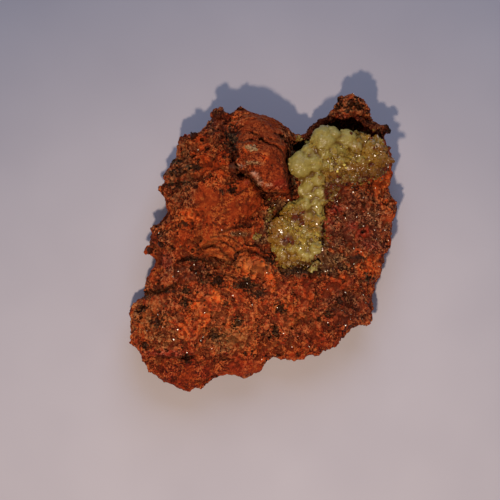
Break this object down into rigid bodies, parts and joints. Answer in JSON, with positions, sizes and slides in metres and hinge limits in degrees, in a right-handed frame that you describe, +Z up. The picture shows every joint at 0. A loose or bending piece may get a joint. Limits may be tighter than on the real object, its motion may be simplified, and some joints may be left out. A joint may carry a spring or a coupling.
{
  "type": "adamite mineral specimen",
  "caption": "Hand-sized lump of rusty limonite matrix with a yellow-green adamite crust lining a hollow in its top, flat where it rests.",
  "frame": {"origin": "centre of the bounding box's footprint, on the surface that the specimen rests on", "axes": "+Z up, away from the resting flat; +Y towards the far side, along the lump's longest side; +X to the right, seen from the near side"},
  "size_m": [0.0548, 0.0604, 0.0255],
  "materials": {
    "limonite": "rough, granular, earthy iron oxide with small glints",
    "adamite": "glassy, translucent yellow-green crystal crust"
  },
  "bodies": {
    "root": {"matrix": "limonite", "adamite_crust": "adamite", "adamite_bud_south": "adamite", "adamite_bud_north": "adamite"}
  },
  "joints": []
}
